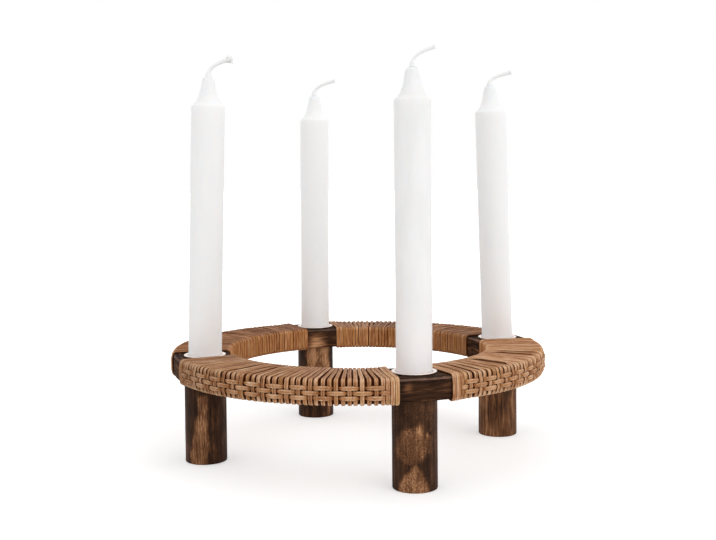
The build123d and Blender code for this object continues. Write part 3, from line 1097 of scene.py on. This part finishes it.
def wick_path(side, samples):
    """Points of the free end in its own upright plane: sideways and up from the tip's end."""
    reach, rise = wick_ends[side]
    bend = [(0.0, 0.10), (0.03, 0.30), (0.15, 0.52), (0.38, 0.72), (0.68, 0.88), (0.94, 0.98), (1.0, 1.0)]
    controls = [(0.0, -8.0), (0.0, -3.0)] + [(across * reach, up * rise) for across, up in bend]
    controls = np.array(controls) * MM
    places = np.linspace(0, len(controls) - 2 - 1e-6, samples)
    points = []
    for place in places:
        first = int(place)
        share = place - first
        weights = (0.5 * (1 - share) ** 2, 0.5 + share - share * share, 0.5 * share * share)
        points.append(sum(weight * control for weight, control in zip(weights, controls[first:first + 3])))
    return np.array(points)


def strand(points, sideways, radius, sides=8):
    """Rings of a round strand through these points; sideways never lies along it."""
    ways = np.gradient(points, axis=0)
    ways /= np.linalg.norm(ways, axis=1)[:, None]
    first = np.cross(ways, sideways)
    first /= np.linalg.norm(first, axis=1)[:, None]
    second = np.cross(ways, first)
    turns = np.arange(sides) * 2 * math.pi / sides
    radii = np.broadcast_to(radius, (len(points),))
    rings = points[:, None, :] + radii[:, None, None] * (
        np.cos(turns)[None, :, None] * first[:, None, :] + np.sin(turns)[None, :, None] * second[:, None, :]
    )
    return rings.reshape(-1, 3)


def make_wick(side, seed):
    """A plain core down the candle, three twisted strands at the free end and a frayed tip."""
    chance = random.Random(seed)
    along = np.array(wick_way)
    up = np.array(upward)
    sideways = np.cross(along, up)
    flat = wick_path(side, wick_samples)
    path = flat[:, :1] * along + (flat[:, 1:] + tip_top(side)) * up
    vertices = []
    faces = []

    def add_strand(points, radius, sides=8):
        faces.extend(tube_faces(len(points), sides, len(vertices)))
        vertices.extend(strand(points, sideways, radius, sides))

    core = np.array([0 * up, 0.5 * tip_top(side) * up, path[2]])
    add_strand(core, core_share * wick_radius, core_sides)
    ways = np.gradient(path, axis=0)
    ways /= np.linalg.norm(ways, axis=1)[:, None]
    uprights = np.cross(sideways, ways)
    travel = np.concatenate([[0], np.cumsum(np.linalg.norm(np.diff(path, axis=0), axis=1))])
    tip_travel = travel[np.argmax(path[:, 2] > tip_top(side))]
    to_end = travel[-1] - travel
    swell = 1 + wick_swell[side] * smoothstep(swell_start, swell_full, to_end)
    fullness = wick_radius * wick_fullness[side] * swell
    for number in range(strand_count):
        turn = 2 * math.pi * (travel / wick_lay + number / strand_count)
        swirl = np.cos(turn)[:, None] * sideways + np.sin(turn)[:, None] * uprights
        add_strand(path + swirl * strand_offset * fullness[:, None], strand_size * fullness)
    wax_collar = path[(travel > tip_travel - collar_low) & (travel < tip_travel + collar_high)]
    taper = np.linspace(*collar_radii, len(wax_collar))
    add_strand(wax_collar, taper * wick_fullness[side], collar_sides)
    fray_length = fray_lengths[side] * MM
    fray_start = np.argmax(travel > travel[-1] - 2 * fray_length)
    fray_count = round(fewest_fibres + fibres_by_length * fray_lengths[side])
    for number in range(fray_count):
        turn = 2 * math.pi * (number + chance.random() * 0.6) / fray_count
        spread = math.cos(turn) * sideways + math.sin(turn) * uprights[-1]
        root = path[fray_start] + spread * fullness[fray_start] * chance.uniform(0.2, 0.9)
        length = chance.uniform(1.2, 2.4) * fray_length
        splay = chance.uniform(0.1, 0.9) * fray_length
        shares = np.linspace(0, 1, fibre_points)[:, None]
        fibre = root + ways[-1] * length * shares + spread * splay * shares ** 2
        add_strand(fibre, np.linspace(*fibre_radii, fibre_points), fibre_sides)
    placement = candle_placement(side)
    placed = [placement @ Vector(vertex) for vertex in vertices]
    piece = make_piece(f"cotton_wick_{side}", placed, faces, cotton)
    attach(piece, f"{side}_candle")
    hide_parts(f"wick_{side}")


for number, side_name in enumerate(leg_angles):
    make_cup(side_name)
    make_candle(side_name, number * candle_seed_step)
    make_wick(side_name, first_wick_seed + number)


# Stage

floor_half = 20.0
even_light = 0.89  # strength 1 is white


def make_floor():
    """A wide white floor that keeps a faint shadow near the legs and ends in plain white."""
    signs = [(-1, -1), (1, -1), (1, 1), (-1, 1)]
    corners = [(x * floor_half, y * floor_half, 0) for x, y in signs]
    material, tree, shader = new_material("floor", roughness=0.9, specular_ior_level=0.0)
    shader.inputs["Base Color"].default_value = (0.85, 0.85, 0.85, 1.0)
    shader.inputs["Emission Color"].default_value = (1.0, 1.0, 1.0, 1.0)
    camera_ray = add_node(tree, "ShaderNodeLightPath").outputs["Is Camera Ray"]
    outward = add_node(tree, "ShaderNodeVectorMath", {0: object_point(tree)}, operation="LENGTH")
    whiteness = map_range(tree, outward.outputs["Value"], 0.16, 0.45, 0.36, 0.8)
    feed(tree, shader.inputs["Emission Strength"], math_node(tree, "MULTIPLY", camera_ray, whiteness))
    piece = make_piece("floor", corners, [(0, 1, 2, 3)], material)


def make_world():
    """Even soft light, and a white background where the camera, gloss or glass looks past the floor."""
    world = bpy.data.worlds.new("studio")
    bpy.context.scene.world = world
    world.use_nodes = True
    tree = world.node_tree
    background = tree.nodes["Background"]
    background.inputs["Color"].default_value = (1.0, 1.0, 1.0, 1.0)
    path = add_node(tree, "ShaderNodeLightPath").outputs
    seen = math_node(tree, "MAXIMUM", path["Is Camera Ray"], path["Is Glossy Ray"])
    seen = math_node(tree, "MAXIMUM", seen, path["Is Transmission Ray"])
    feed(tree, background.inputs["Strength"], map_range(tree, seen, 0.0, 1.0, even_light, 1.0))


def make_sun(name, energy, bearing, elevation, spread):
    """A large soft lamp, far away; its bearing is clockwise from the camera's, in degrees."""
    lamp = bpy.data.lights.new(name, "SUN")
    lamp.energy = energy
    lamp.angle = math.radians(spread)
    sun = bpy.data.objects.new(name, lamp)
    bpy.context.scene.collection.objects.link(sun)
    away = camera_heading + math.radians(bearing)
    level = math.cos(math.radians(elevation))
    towards = Vector((math.sin(away) * level, math.cos(away) * level, -math.sin(math.radians(elevation))))
    sun.rotation_mode = "QUATERNION"
    sun.rotation_quaternion = towards.to_track_quat("-Z", "Y")


def make_camera():
    """The photograph's view."""
    camera = bpy.data.cameras.new("camera")
    camera.sensor_width = sensor_width
    camera.sensor_fit = "HORIZONTAL"
    camera.lens = focal_pixels / picture_width * sensor_width
    camera.shift_y = picture_shift / picture_width
    camera.clip_start = 0.01
    camera.clip_end = 100.0
    holder = bpy.data.objects.new("camera", camera)
    bpy.context.scene.collection.objects.link(holder)
    heading = Matrix.Rotation(-camera_heading, 4, "Z")
    pitch = Matrix.Rotation(math.pi / 2 + camera_pitch, 4, "X")
    roll = Matrix.Rotation(camera_roll, 4, "Z")
    holder.matrix_world = Matrix.Translation(camera_place) @ heading @ pitch @ roll
    bpy.context.scene.camera = holder


make_floor()
make_world()
make_sun("key", energy=0.50, bearing=-46.0, elevation=34.0, spread=50.0)
make_camera()
bpy.context.scene.view_settings.view_transform = "Standard"
